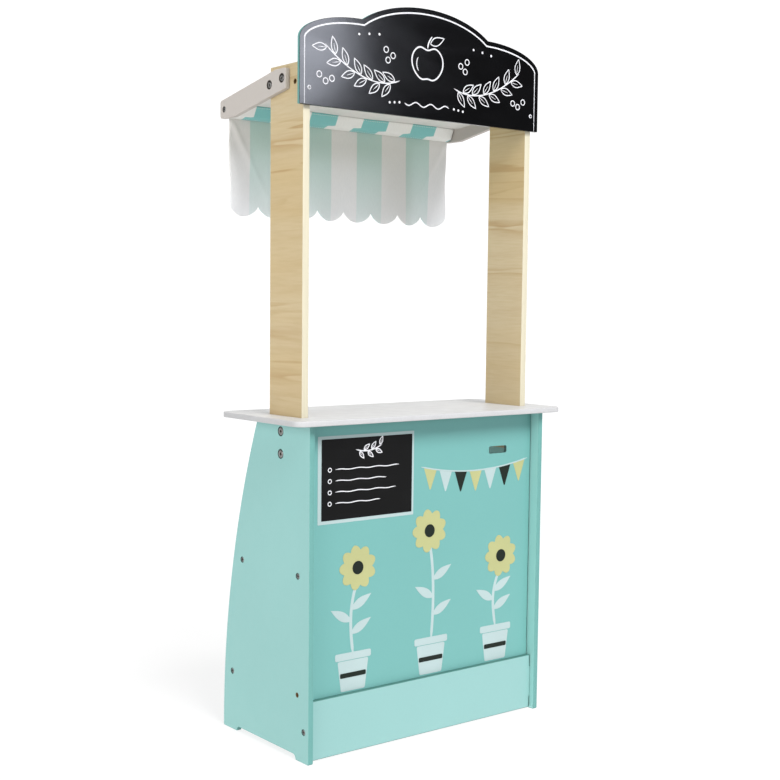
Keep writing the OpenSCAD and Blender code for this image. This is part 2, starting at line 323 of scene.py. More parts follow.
def board(outline, depths, edge=0.7, holes=(), pits=(), steps=4, lap=False, rim=1.0):
    """A board between two depths. Its edge profile is a quarter circle, a straight wall and a quarter
    circle: inset edge times (1 - sine), depth edge times (1 - cosine). holes are loops cut right
    through, and rim is the width of their rounding as a share of the edge's. pits are (loop, depth,
    finish) cut into the lower face. lap takes the upper face's finish over its rounding."""
    turn = np.linspace(0, np.pi / 2, steps + 1)
    rounding = np.stack([edge * (1 - np.sin(turn)), edge * (1 - np.cos(turn))], 1)
    stations = np.vstack([rounding + [0, depths[0]], rounding[::-1] * [1, -1] + [0, depths[1]]])
    # Highest in the middle of each rounding: where hands rub, and where a painted highlight runs along
    # the arris.
    wear = np.sin(2 * np.concatenate([turn, turn[::-1]]))[:, None]
    shell, low_rings, high_rings = Shell(), [], []
    for loop, finish, share in [(outline, EDGE, 1.0)] + [(hole[::-1], PIT, rim) for hole in holes]:
        points = walls(loop, stations * [share, 1])
        numbers = shell.add_points(points, wear)
        shell.add_faces(quads(numbers[:steps + 2], around=True), finish)
        shell.add_faces(quads(numbers[steps + 1:], around=True), FACE_HIGH if lap else finish)
        low_rings.append((numbers[0], points[0]))
        high_rings.append((numbers[-1], points[-1]))
    for loop, deep, finish in pits:
        points = walls(loop[::-1], np.vstack([rounding / 2, [0, deep]]) + [0, depths[0]])
        numbers = shell.add_points(points)
        shell.add_faces(quads(numbers, around=True), finish)
        shell.add_faces(numbers[-1:], finish, smooth=False)
        low_rings.append((numbers[0], points[0]))
    cap(shell, low_rings, False, FACE_LOW)
    cap(shell, high_rings, True, FACE_HIGH)
    return shell


print("a plain board has", len(board(rectangle((0, 0), (100, 50), 1), (0, 9)).faces), "faces")

# %% [markdown]
# ## Finishes
# A finish is a material made of nodes. Its noises read Object coordinates, which are metres in the
# stall's own frame, so a grain of half a millimetre stays that size on every piece. A short wrapper
# adds nodes and links, so that each finish below can be read as a recipe.


# %% Shorthand for shader nodes
class Finish:
    """A material with one principled shader, and short ways to add and link nodes."""

    def __init__(self, name, **sockets):
        self.material = bpy.data.materials.new(name)
        self.material.use_nodes = True
        self.tree = self.material.node_tree
        self.shader = self.tree.nodes["Principled BSDF"]
        for socket, value in sockets.items():
            self.shader.inputs[socket.replace("_", " ")].default_value = value

    def node(self, kind, inputs=None, output=0, **settings):
        """Adds a node, feeds its inputs with values or sockets, and returns one of its outputs."""
        made = self.tree.nodes.new("ShaderNode" + kind)
        for name, value in settings.items():
            setattr(made, name, value)
        for name, value in (inputs or {}).items():
            self.feed(made.inputs[name], value)
        return made.outputs[output]

    def feed(self, socket, value):
        """Links a socket, or sets its value."""
        if isinstance(value, bpy.types.NodeSocket):
            self.tree.links.new(value, socket)
        else:
            socket.default_value = value

    def noise(self, scale, stretch=(1, 1, 1), detail=3.0, distortion=0.0):
        """Noise from 0 to 1 on Object coordinates, with a number of lumps per metre that the stretch
        multiplies along each axis."""
        place = self.node("Mapping", {"Vector": self.node("TexCoord", output="Object"), "Scale": stretch})
        return self.node("TexNoise", {"Vector": place, "Scale": scale, "Detail": detail,
                                      "Distortion": distortion})

    def spread(self, value, low, high, to_low=0.0, to_high=1.0):
        """Maps a value's range to another range, held at its ends."""
        return self.node("MapRange", {"Value": value, "From Min": low, "From Max": high,
                                      "To Min": to_low, "To Max": to_high})

    def math(self, operation, *values):
        """A math node on one to three values."""
        return self.node("Math", dict(enumerate(values)), operation=operation)

    def mix(self, share, one, two, blend="MIX"):
        """One colour blended into another."""
        return self.node("Mix", {0: share, 6: one, 7: two}, 2, data_type="RGBA", blend_type=blend)

    def bump(self, height, distance, strength):
        """Sends a height from 0 to 1, over a distance in metres, to the shader's normal."""
        self.feed(self.shader.inputs["Normal"], self.node(
            "Bump", {"Height": height, "Distance": distance, "Strength": strength}))

    def set(self, socket, value):
        """Feeds one of the shader's own sockets."""
        self.feed(self.shader.inputs[socket], value)


def srgb(red, green, blue):
    """A colour as shaders take it, from the 0 to 255 numbers that a picture shows."""
    shown = np.array([red, green, blue]) / 255
    linear = np.where(shown <= 0.04045, shown / 12.92, ((shown + 0.055) / 1.055) ** 2.4)
    return (*linear.tolist(), 1.0)


def toned(colour, gain):
    """A colour made lighter or darker."""
    return (*[min(channel * gain, 1.0) for channel in colour[:3]], 1.0)


print("mid grey in light:", np.round(srgb(128, 128, 128)[:3], 3))

# %% [markdown]
# ## Paint
# The boards are fibreboard with sprayed paint. Sprayed paint has slow, faint patches of tone, a fine
# orange-peel surface and a gloss that varies a little. On edges the board drinks more paint, so they
# are darker, with specks of fibre. Edges where boards meet carry a still darker painted shade of the
# gaps between them. Corners rub pale with use, and the same pale tone paints a highlight along each
# arris. All of this is noise at different scales, and the rub-and-highlight number says where the
# corners are.


# %% Painted boards and their edges
def paint(name, colour, roughness=0.42, shine=0.42):
    """Sprayed paint: patches of tone, specks, orange peel and uneven gloss."""
    finish = Finish(name, Specular_IOR_Level=shine)
    patches = finish.spread(finish.noise(4, detail=2), 0.3, 0.7)
    specks = finish.spread(finish.noise(210, detail=4), 0.4, 0.7, 0.0, 0.08)
    base = finish.mix(patches, toned(colour, 0.98), toned(colour, 1.015))
    finish.set("Base Color", finish.mix(specks, base, toned(colour, 0.86)))
    finish.set("Roughness", finish.spread(finish.noise(38, detail=4), 0.3, 0.7,
                                          roughness - 0.06, roughness + 0.08))
    finish.bump(finish.noise(520, detail=2), 0.00004, 0.6)
    return finish.material


def painted_edge(name, colour, roughness=0.6, rub_highlight_gain=1.22):
    """A sawn edge under paint: darker, duller, with short fibres along the board, and paler in places
    where the rub-and-highlight number is high: partly worn by hands, partly a painted highlight along
    the arris."""
    finish = Finish(name, Specular_IOR_Level=0.35)
    fibres = finish.noise(700, (1, 1, 0.35), detail=5)
    patches = finish.noise(22, detail=3)
    base = finish.mix(finish.spread(fibres, 0.38, 0.66, 0.0, 0.35), colour, toned(colour, 0.86))
    base = finish.mix(finish.spread(patches, 0.45, 0.7, 0.0, 0.3), base, toned(colour, 1.1))
    # Paler where the number is high: partly worn paint, partly a painted highlight along the arris.
    wear = finish.math("MULTIPLY", finish.node("Attribute", output="Fac", attribute_name="wear"),
                       finish.spread(finish.noise(60, detail=5), 0.42, 0.6, 0.35, 1.0))
    finish.set("Base Color", finish.mix(wear, base, toned(colour, rub_highlight_gain)))
    finish.set("Roughness", finish.spread(fibres, 0.3, 0.7, roughness - 0.08, roughness + 0.08))
    finish.bump(fibres, 0.00008, 0.5)
    return finish.material


teal_paint = paint("teal_paint", srgb(139, 188, 184))
teal_edge = painted_edge("teal_edge", srgb(97, 150, 145))
# Walls of the screw pits and the coin slot: a dark teal, painted shade inside the recesses.
pit_painted_shade = painted_edge("pit_painted_shade", srgb(52, 81, 77))
# Sockets and the arm pits: a dark brown, painted shade in the hollows.
recess_painted_shade = painted_edge("recess_painted_shade", srgb(52, 46, 40))
# The plinth's teal is a darker copy of the sides' teal: painted shade that tones down the strong light on
# its front.
plinth_teal_painted_shade = paint("plinth_teal_painted_shade", srgb(131, 173, 170))
# Edges where boards meet, and the plinth's slits: a darker teal, painted shade of the narrow gaps.
painted_joint_shade = painted_edge("painted_joint_shade", srgb(70, 116, 110), rub_highlight_gain=1.0)
# The inner faces get a lighter copy of the sides' teal: painted light on them.
inner_painted_light = paint("inner_painted_light", srgb(146, 197, 192))
front_paint = paint("front_paint", srgb(106, 160, 156), roughness=0.5, shine=0.2)
counter_paint = paint("counter_paint", srgb(198, 198, 198))
counter_edge = painted_edge("counter_edge", srgb(183, 183, 184), roughness=0.5, rub_highlight_gain=1.04)
arm_paint = paint("arm_paint", srgb(184, 178, 172), roughness=0.5)
arm_edge = painted_edge("arm_edge", srgb(185, 178, 172), roughness=0.55, rub_highlight_gain=1.1)
print("paints:", len(bpy.data.materials))

# %% [markdown]
# ## Raw board, wood print and steel
# The bare hole in a side panel shows brown fibreboard. The posts wear a printed wood grain, laid with
# its rings across the post, and a cream band on the edges. Wood rings darken slowly and stop sharply,
# so the rings are the fraction of a stretched noise: it climbs like a saw and drops at once.


# %% Fibreboard, pine print, edge band, dowel wood and steel
def fibre(name, colour):
    """Bare fibreboard: brown, matt and speckled."""
    finish = Finish(name, Roughness=0.85)
    specks = finish.noise(900, detail=5)
    finish.set("Base Color", finish.mix(finish.spread(specks, 0.35, 0.65), toned(colour, 0.7), colour))
    finish.bump(specks, 0.0001, 0.5)
    return finish.material


def pine(name, light, honey, ring, stretch):
    """Printed pine. stretch counts changes per metre along each axis. Three noises share it: slow bands
    of honey, rings that darken slowly and stop sharply, and fine fibres."""
    finish = Finish(name, Specular_IOR_Level=0.35)
    slow = finish.noise(0.35, stretch, detail=2)
    field = finish.noise(1.0, stretch, detail=2.5, distortion=0.25)
    saw = finish.math("FRACT", finish.math("MULTIPLY", field, 5.0))
    climb = finish.math("POWER", finish.spread(saw, 0.1, 0.93), 2.5)
    line = finish.math("MULTIPLY", climb, finish.spread(saw, 1.0, 0.93))
    faint = finish.spread(finish.noise(0.9, stretch, detail=1), 0.4, 0.66, 0.05, 0.65)
    fibres = finish.noise(13, stretch, detail=3)
    base = finish.mix(finish.spread(slow, 0.36, 0.66), light, honey)
    base = finish.mix(finish.spread(fibres, 0.4, 0.7, 0.0, 0.32), base, toned(honey, 0.86))
    finish.set("Base Color", finish.mix(finish.math("MULTIPLY", line, faint), base, ring))
    finish.set("Roughness", finish.spread(fibres, 0.3, 0.7, 0.42, 0.56))
    finish.bump(fibres, 0.00005, 0.5)
    return finish.material


def edge_band(name, colour):
    """A glued plastic band: smooth, a little glossy, with faint long streaks."""
    finish = Finish(name, Specular_IOR_Level=0.45)
    streaks = finish.noise(1.0, (260, 260, 9), detail=3)
    pale = finish.spread(streaks, 0.35, 0.65)
    finish.set("Base Color", finish.mix(pale, toned(colour, 0.955), colour))
    finish.set("Roughness", finish.spread(streaks, 0.3, 0.7, 0.36, 0.46))
    finish.bump(streaks, 0.00003, 0.4)
    return finish.material


def steel(name, colour, roughness):
    """Zinc-plated steel with turned marks and dull patches."""
    finish = Finish(name, Metallic=1.0)
    marks = finish.noise(1400, detail=4)
    finish.set("Base Color", finish.mix(finish.spread(marks, 0.3, 0.7), toned(colour, 0.82), colour))
    finish.set("Roughness", finish.spread(finish.noise(240, detail=3), 0.3, 0.7,
                                          roughness - 0.08, roughness + 0.12))
    finish.bump(marks, 0.00003, 0.5)
    return finish.material


bare_fibre = fibre("bare_fibre", srgb(122, 92, 52))
post_pine = pine("post_pine", light=srgb(198, 182, 148), honey=srgb(192, 170, 127),
                 ring=srgb(161, 126, 75), stretch=(3, 1.7, 26))
post_band = edge_band("post_band", srgb(201, 194, 171))
dowel_wood = pine("dowel_wood", light=srgb(226, 205, 165), honey=srgb(214, 189, 142),
                  ring=srgb(188, 156, 108), stretch=(1.6, 60, 60))
bolt_steel = steel("bolt_steel", srgb(150, 149, 147), 0.3)
screw_steel = steel("screw_steel", srgb(150, 153, 152), 0.34)
# The sign's screw heads get a pale, non-metal finish.
pale_screw_finish = paint("pale_screw_finish", srgb(206, 207, 212), roughness=0.3)
print("finishes so far:", len(bpy.data.materials))

# %% [markdown]
# ## Side panels
# Each side panel is a sawn fibreboard, straight in front and curved behind, with a low cut-out that
# leaves two feet. The curve is one circle that is upright at the floor. The screws that hold the
# shelves and the plinth, and the bolts of the posts, lie in round pits in the outer face, so the pits
# are cut into the board. One pit stays empty and shows bare fibreboard.

# %% Left panel, and its mirror image
foot_front, foot_rear, foot_cut, foot_steps = 36, 42, 8, 8
toe_round, corner_round = 2.5, 1.0
top_depth = 150
panel_depth, panel_height = side_high[1] - side_low[1], side_high[2]
bulge = panel_depth - top_depth
curve_radius = (panel_height ** 2 + bulge ** 2) / (2 * bulge)
curve_end = np.degrees(np.arcsin(panel_height / curve_radius))

side_corners = np.vstack([
    [(0, 0)],
    arc((foot_front + foot_cut, 0), (foot_cut, foot_cut), 180, 90, foot_steps),
    arc((panel_depth - foot_rear - foot_cut, 0), (foot_cut, foot_cut), 90, 0, foot_steps),
    arc((panel_depth - curve_radius, 0), (curve_radius, curve_radius), 0, curve_end, 40),
    [(0, panel_height)]])
cut_end = 2 * (foot_steps + 1)
side_radii = np.zeros(len(side_corners))
side_radii[[0, cut_end + 1]] = toe_round
side_radii[[1, cut_end, -2, -1]] = corner_round
side_outline = soften(side_corners, side_radii) + [front_y, 0]

# Places on a side panel as (depth, height)
screw_places = [(32, 296.5), (196, 296.5), (227, 100.5), (14, 50)]
post_bolts = [(82, 521), (82, 485)]
open_hole = [(32, 106)]


def side_pits(places, radius, deep, finish):
    """Round pits in a side view, given by depth and height."""
    return [(circle((front_y + d, z), radius), deep, finish) for d, z in places]


# The pit walls are painted dark: painted shade in the hollows. The empty hole shows bare fibreboard.
left_pits = (side_pits(screw_places, radius=4.9, deep=2.4, finish=PIT)
             + side_pits(post_bolts, radius=7.6, deep=3.0, finish=PIT)
             + side_pits(open_hole, radius=3.8, deep=7.0, finish=BARE))
left_side = board(side_outline, (side_low[0], side_high[0]), pits=left_pits).moved(STANDING_SIDE)
side_finishes = [teal_paint, teal_edge, inner_painted_light, pit_painted_shade, bare_fibre]
add_piece("left_side_board", left_side, side_finishes, ["left_side_panel"])
add_piece("right_side_board", left_side.moved(OTHER_SIDE), side_finishes,
          ["right_side_panel"])

# %% [markdown]
# ## Front, plinth and shelves
# Between the side panels stand a thin front panel with a coin slot and a thicker plinth in front of
# its foot, and two shelves lie behind. The plinth's ends touch the side panels only in the middle,
# so their corners show as slits. The edges of the front panel and the plinth carry painted shade of
# the gaps where they meet other boards and of the slits, and the coin slot's walls carry painted shade
# too. All are plain boards, cut to the boxes of their CAD nodes.


# %% Boards between the sides
def front_view(node):
    """Low and high corner of a node's front view, and its depths along the axis that points forward."""
    low, high = box(node)
    return low[[0, 2]], high[[0, 2]], (-high[1], -low[1])


panel_low, panel_high, panel_depths = front_view("front_panel")
slot_size, slot_middle, slot_round = np.array([41, 12]), np.array([161, 473]), 3
coin_slot = rectangle(slot_middle - slot_size / 2, slot_middle + slot_size / 2, slot_round)
front_board = board(rectangle(panel_low, panel_high, radius=1.4), panel_depths, edge=1.3,
                    holes=[coin_slot], rim=0.3)
front_finishes = [front_paint, painted_joint_shade, front_paint, pit_painted_shade]
add_piece("front_board", front_board.moved(STANDING_FRONT), front_finishes,
          ["front_panel"])

plinth_low, plinth_high, plinth_depths = front_view("plinth_board")
relief, relief_h = 2, 20
lower_right = np.array([(plinth_high[0] - relief, plinth_low[1]),
                        (plinth_high[0] - relief, plinth_low[1] + relief_h),
                        (plinth_high[0], plinth_low[1] + relief_h)])
upper_right = [0, plinth_low[1] + plinth_high[1]] + lower_right * [1, -1]
plinth_right = np.vstack([lower_right, upper_right[::-1]])
plinth_outline = np.vstack([plinth_right, (plinth_right * [-1, 1])[::-1]])
plinth = board(soften(plinth_outline, radii=1.0), plinth_depths, edge=0.9)
add_piece("plinth", plinth.moved(STANDING_FRONT), [plinth_teal_painted_shade, painted_joint_shade, plinth_teal_painted_shade],
          ["plinth_board"])

for name in ("bottom_shelf", "middle_shelf"):
    low, high = box(name)
    shelf = board(rectangle(low[:2], high[:2], radius=0.8), (low[2], high[2]))
    add_piece(name + "_board", shelf, [teal_paint, teal_edge, teal_paint], [name])

# %% [markdown]
# ## Counter and posts
# The counter is a white board with round corners, and the two posts pass through slots in it down to
# the side panels, where they are bolted. Each post has one spare hole near its top. The posts carry
# printed grain on their faces and a cream band along their edges.

# %% Counter with its slots, and the two posts
counter_low, counter_high = box("counter_top")
post_low, post_high = box("left_post")
counter_round, post_play = 20, 0.5
post_slot = rectangle(post_low[:2] - post_play, post_high[:2] + post_play, radius=0.4)
counter = board(rectangle(counter_low[:2], counter_high[:2], counter_round),
                (counter_low[2], counter_high[2]), edge=1.4,
                holes=[post_slot, (post_slot * [-1, 1])[::-1]])
add_piece("counter_board", counter, [counter_paint, counter_edge, counter_paint, counter_edge],
          ["counter_top"])

spare_depth, spare_height, spare_r = 59, 1065, 3.6
spare_hole = circle((front_y + spare_depth, spare_height), spare_r, steps=20)
left_post = board(rectangle(post_low[1:], post_high[1:], radius=1.0), (post_low[0], post_high[0]),
                  edge=0.6, holes=[spare_hole]).moved(STANDING_SIDE)
post_finishes = [post_pine, post_band, post_pine, bare_fibre]
add_piece("left_post_board", left_post, post_finishes, ["left_post"])
add_piece("right_post_board", left_post.moved(OTHER_SIDE), post_finishes, ["right_post"])

# %% [markdown]
# ## Sign
# The sign is a thin board with straight sides, a rounded shoulder at each end and a crown between.
# Its curves are three ellipses. The face is smooth black paint, made for chalk: a little glossy, with
# a pale haze of old chalk dust. It laps over the front corner and covers the lower edge, which is the
# one stretch between the outline's last point and its first. The other edges and the back keep the teal.


# %% Black face and arched board
def chalk_black(name, colour, roughness, shine, haze):
    """Chalkboard paint: black with a wiped haze of dust, as a share of grey, and an uneven gloss."""
    finish = Finish(name, Specular_IOR_Level=shine)
    wiped = finish.noise(1.0, (9, 9, 26), detail=4, distortion=0.6)
    dust = finish.noise(420, detail=3)
    smear = finish.math("MULTIPLY", finish.spread(wiped, 0.45, 0.8), finish.spread(dust, 0.3, 0.8))
    finish.set("Base Color", finish.mix(finish.math("MULTIPLY", smear, haze), colour,
                                        srgb(120, 120, 124)))
    finish.set("Roughness", finish.spread(wiped, 0.3, 0.7, roughness - 0.015, roughness + 0.025))
    finish.bump(dust, 0.00003, 0.25)
    return finish.material


sign_black = chalk_black("sign_black", srgb(4, 4, 5), roughness=0.11, shine=0.16, haze=0.016)
sign_low, sign_high, sign_depths = front_view("sign_board")
side_rise, shoulder, crown_rise, crown_tuck = 100, np.array([120, 42]), 34, 32
shoulder_x, shoulder_z = sign_high[0] - shoulder[0], sign_low[1] + side_rise
crown_half = shoulder_x + crown_tuck
crown_tall = crown_rise / (1 - np.sqrt(1 - (shoulder_x / crown_half) ** 2))
crown_start = np.degrees(np.arccos(shoulder_x / crown_half))
crown_z = shoulder_z + shoulder[1] + crown_rise - crown_tall

sign_corners = np.vstack([
    [(sign_high[0], sign_low[1])],
    arc((shoulder_x, shoulder_z), shoulder, 0, 90, 28),
    arc((0, crown_z), (crown_half, crown_tall), crown_start, 180 - crown_start, 44)[1:-1],
    arc((-shoulder_x, shoulder_z), shoulder, 90, 180, 28),
    [(sign_low[0], sign_low[1])]])
sign_foot_round = 1.5
sign_radii = np.zeros(len(sign_corners))
sign_radii[[0, -1]] = sign_foot_round
sign_outline = soften(sign_corners, sign_radii)
sign = board(sign_outline, sign_depths, edge=0.5, lap=True)
lower_edge = np.arange(sign.finish.count(EDGE)).reshape(-1, len(sign_outline))[:, -1]
in_lower_edge = np.isin(np.arange(len(sign.finish)), lower_edge)
sign.finish = np.where(in_lower_edge, FACE_HIGH, sign.finish).tolist()
add_piece("sign", sign.moved(STANDING_FRONT), [teal_paint, teal_edge, sign_black],
          ["sign_board"])

# %% [markdown]
# ## Drawing with raised lines
# The sign and the front carry printed pictures: chalk lines on black, and flat shapes in white, yellow
# and dark green on teal. An image would do, but drawn shapes stay sharp at any size. A line is a low
# profile carried along a path, and a filled shape is a very thin board. Fruit, leaves and flowers suit
# any market stall.


# %% Lines, fills and leaves
def flat_print(name, colour, gaps=0.0):
    """Printed ink: flat colour with faint unevenness. gaps is how strongly dark specks break it up, as
    they do in a chalk line."""
    finish = Finish(name, Roughness=0.55, Specular_IOR_Level=0.2)
    specks = finish.noise(650, detail=4)
    patches = finish.noise(14, detail=2)
    base = finish.mix(finish.spread(patches, 0.35, 0.65), toned(colour, 0.95), colour)
    finish.set("Base Color", finish.mix(finish.spread(specks, 0.5, 0.75, 0.0, gaps + 0.06), base,
                                        toned(colour, 0.25)))
    finish.bump(specks, 0.00003, 0.4)
    return finish.material


INK = 0.25


def line(path, width, closed=False, rise=INK):
    """A raised line: a low trapezium carried along a path, half its width to each side. Open lines get
    thinner in their last two steps."""
    path = np.asarray(path, float)
    ahead = unit(np.roll(path, -1, 0) - np.roll(path, 1, 0) if closed else np.gradient(path, axis=0))
    aside = np.stack([-ahead[:, 1], ahead[:, 0]], 1)
    to_end = np.minimum(np.arange(len(path)), np.arange(len(path))[::-1])
    half = width / 2 * (np.ones(len(path)) if closed else np.clip((to_end + 1) / 3, 0.3, 1))
    flat = path[:, None] + aside[:, None] * (half[:, None] * [-1, -0.75, 0.75, 1])[..., None]
    height = np.broadcast_to([-0.05, rise, rise, -0.05], flat.shape[:2])
    shell = Shell()
    numbers = shell.add_points(np.concatenate([flat, height[..., None]], 2))
    rows = np.vstack([numbers, numbers[:1]]) if closed else numbers
    shell.add_faces(quads(rows, around=True)[:, ::-1], smooth=False)
    if not closed:
        shell.add_faces(numbers[:1], smooth=False)
        shell.add_faces(numbers[-1:, ::-1], smooth=False)
    return shell


def fill(outline, rise=INK):
    """A filled shape: a very thin board whose lower face lies just inside the ground."""
    shell = board(outline, (-0.1, rise), edge=0.06, steps=1)
    shell.finish = [0] * len(shell.finish)
    return shell


def sweep_line(a, b, c, d, steps=24):
    """A cubic curve from a to d that starts towards b and arrives from c: the four points weighted by
    the terms of (1 - t + t) cubed."""
    t = np.linspace(0, 1, steps + 1)[:, None]
    a, b, c, d = (np.asarray(p, float) for p in (a, b, c, d))
    return (1 - t) ** 3 * a + 3 * t * (1 - t) ** 2 * b + 3 * t ** 2 * (1 - t) * c + t ** 3 * d


def leaf(root, tip, width, steps=14):
    """A leaf's outline: half its width goes with the sine of the way from root to tip."""
    root, tip = np.asarray(root, float), np.asarray(tip, float)
    way = np.linspace(0, 1, steps + 1)[:, None]
    aside = unit(np.array([root[1] - tip[1], tip[0] - root[0]]))
    middle, bulge = root + way * (tip - root), aside * width / 2 * np.sin(np.pi * way ** 0.8)
    return np.vstack([middle - bulge, (middle + bulge)[-2:0:-1]])


def branch(stem, leaves, size):
    """A stem with leaves by turns on its left and right, each set at an angle to the stem."""
    drawn = line(stem, 2.0)
    for turn, i in enumerate(np.linspace(3, len(stem) - 2, leaves).astype(int)):
        ahead = unit(stem[i + 1] - stem[i - 1]) if i + 1 < len(stem) else unit(stem[i] - stem[i - 1])
        aside = np.array([-ahead[1], ahead[0]]) * (1 if turn % 2 else -1)
        root = stem[i] + aside * 2
        tip = root + size * (0.75 * ahead + 0.66 * aside)
        rib = np.linspace(root, root + 0.6 * (tip - root), 5)
        drawn.add_shells(line(leaf(root, tip, size * 0.42), 1.7, closed=True, rise=0.8 * INK),
                         line(rib, 1.2, rise=0.6 * INK))
    return drawn


print("a leaf outline has", len(leaf((0, 0), (10, 0), 4)), "points")

# %% [markdown]
# ## Chalk picture on the sign
# A white line follows the sign's outline a little way in. Inside it an apple stands between two leafy
# branches with berries, over a wavy line. The two sides are mirror images, so each curve is drawn once
# and drawn again with its sideways places turned round.


# %% Border, apple, branches and berries
def apple(centre, size):
    """An apple's outline: an ellipse, a little wider above, with a dip on top and a small one below.
    Each dip is a bell curve of the angle from the top or from the bottom."""
    turn = np.linspace(-np.pi, np.pi, 60, endpoint=False)
    x = np.sin(turn) * (1.06 + 0.10 * np.cos(turn))
    z = 0.94 * np.cos(turn) - 0.26 * np.exp(-(turn / 0.33) ** 2)
    z = z + 0.14 * np.exp(-((np.abs(turn) - np.pi) / 0.3) ** 2)
    return np.asarray(centre) + size * np.stack([x, z], 1)


chalk = flat_print("chalk", srgb(226, 226, 230), gaps=0.45)
border_inset, border_foot, bold, thin = 9.0, 0.8, 2.6, 1.8
border = walls(sign_corners, np.array([[border_inset, 0.0]]))[0, :, :2]
border[[0, -1], 1] = sign_low[1] + border_foot
chalk_lines = line(border, bold)

apple_z, apple_size = 1116, 31
shine = arc((0, apple_z - 2), (23, 20), 150, 215, 12)
stalk = sweep_line((0, 1140), (0, 1148), (4, 1154), (9, 1160), steps=12)
apple_leaf = leaf((6, 1148), (35, 1160), width=13)
chalk_lines.add_shells(line(apple((0, apple_z), apple_size), bold, closed=True), line(shine, thin),
                       line(stalk, bold), line(apple_leaf, thin, closed=True, rise=0.8 * INK))

wavy_half, wavy_z, wavy_rise, wavy_turn = 47, 1048, 3, 5
wavy_x = np.linspace(-wavy_half, wavy_half, 76)
wavy_line = np.stack([wavy_x, wavy_z + wavy_rise * np.sin(wavy_x / wavy_turn)], 1)
chalk_lines.add_shells(line(wavy_line, width=2.0))

right_stem = sweep_line((58, 1082), (100, 1064), (155, 1080), (205, 1122), steps=40)
berries = np.array([(72, 1120), (86, 1128), (82, 1112), (204, 1066), (216, 1075), (192, 1071)])
dots = np.array([(58, 1048), (68, 1047), (78, 1046), (120, 1148), (100, 1150), (140, 1145)])
berry_r, dot_r = 4.6, 2.0
for side in ([1, 1], [-1, 1]):
    chalk_lines.add_shells(
        branch(right_stem * side, leaves=12, size=27),
        *[line(circle(place, berry_r, 18), width=1.7, closed=True) for place in berries * side],
        *[fill(circle(place, dot_r, 12)) for place in dots * side])
sign_face = (0, -sign_depths[1], 0)
add_piece("sign_chalk", chalk_lines.moved(STANDING_FRONT, sign_face), [chalk])

# %% [markdown]
# ## Pictures on the front
# The front shows a small black writing board with a pale frame, a row of paper flags and three flowers
# in pots. Each colour is one piece, because a real print lays down one colour at a time. The shapes are
# thin fills and lines, and a shape that covers another one rises higher than it.

# %% Writing board
ink_white = flat_print("ink_white", srgb(166, 184, 184))
ink_yellow = flat_print("ink_yellow", srgb(170, 171, 121))
ink_green = flat_print("ink_green", srgb(18, 28, 21))
board_black = chalk_black("board_black", srgb(9, 9, 9), roughness=0.45, shine=0.12, haze=0.032)
front_face_y = -panel_depths[1]


def add_print(name, shell, finish, layer=0):
    """A print on the front panel, raised by a number of ink layers."""
    place = (0, front_face_y - layer * INK, 0)
    add_piece(name, shell.moved(STANDING_FRONT, place), [finish])


frame_low, frame_high = (-222, 376), (-28, 516)
face_low, face_high = (-215, 381.5), (-32, 511)
add_print("board_frame", fill(rectangle(frame_low, frame_high, radius=1.5)), ink_white)
add_print("board_face", fill(rectangle(face_low, face_high, radius=1.0)), board_black, layer=1)

twig = sweep_line((-148, 492), (-130, 486), (-112, 488), (-96, 497), steps=20)
notes = branch(twig, leaves=6, size=14)
ring_x, ring_r, rule_start, rule_sway = -199, 3.2, -188, 0.7
for z, rule_end in [(462, -60), (444, -86), (426, -66), (408, -98)]:
    rule_x = np.linspace(rule_start, rule_end, 40)
    notes.add_shells(line(np.stack([rule_x, z + rule_sway * np.sin(rule_x / 6)], 1), width=1.6),
                     line(circle((ring_x, z), ring_r, 16), width=1.5, closed=True))
add_print("board_chalk", notes, chalk, layer=2)


# %% Flags and potted flowers
def flower(centre, radius, petals=9, steps=8):
    """A flower's outline: the radius swells with the absolute sine of half the petal count times the
    angle, so that each half wave is one petal."""
    turn = np.linspace(0, 2 * np.pi, petals * steps, endpoint=False)
    reach = radius * (0.78 + 0.22 * np.abs(np.sin(turn * petals / 2)))
    return np.asarray(centre) + reach[:, None] * np.stack([np.cos(turn), np.sin(turn)], 1)


white, yellow, green = Shell(), Shell(), Shell()
rope_middle, rope_half, rope_low, rope_dip = 110, 122, 440, 14


def rope_z(x):
    """Height of the rope: a parabola that hangs between its ends."""
    return rope_low + rope_dip * ((x - rope_middle) / rope_half) ** 2


rope_x = rope_middle + np.linspace(-rope_half, rope_half, 60)
white.add_shells(line(np.stack([rope_x, rope_z(rope_x)], 1), width=2.6, rise=2 * INK))
flag_half, flag_drop, last_flag = 14, 38, 102
for i, x in enumerate(rope_middle + np.linspace(-last_flag, last_flag, 7)):
    flag = [(x + flag_half, rope_z(x + flag_half)), (x - flag_half, rope_z(x - flag_half)),
            (x, rope_z(x) - flag_drop)]
    (yellow, white, green)[i % 3].add_shells(fill(soften(flag, radii=1.5)))

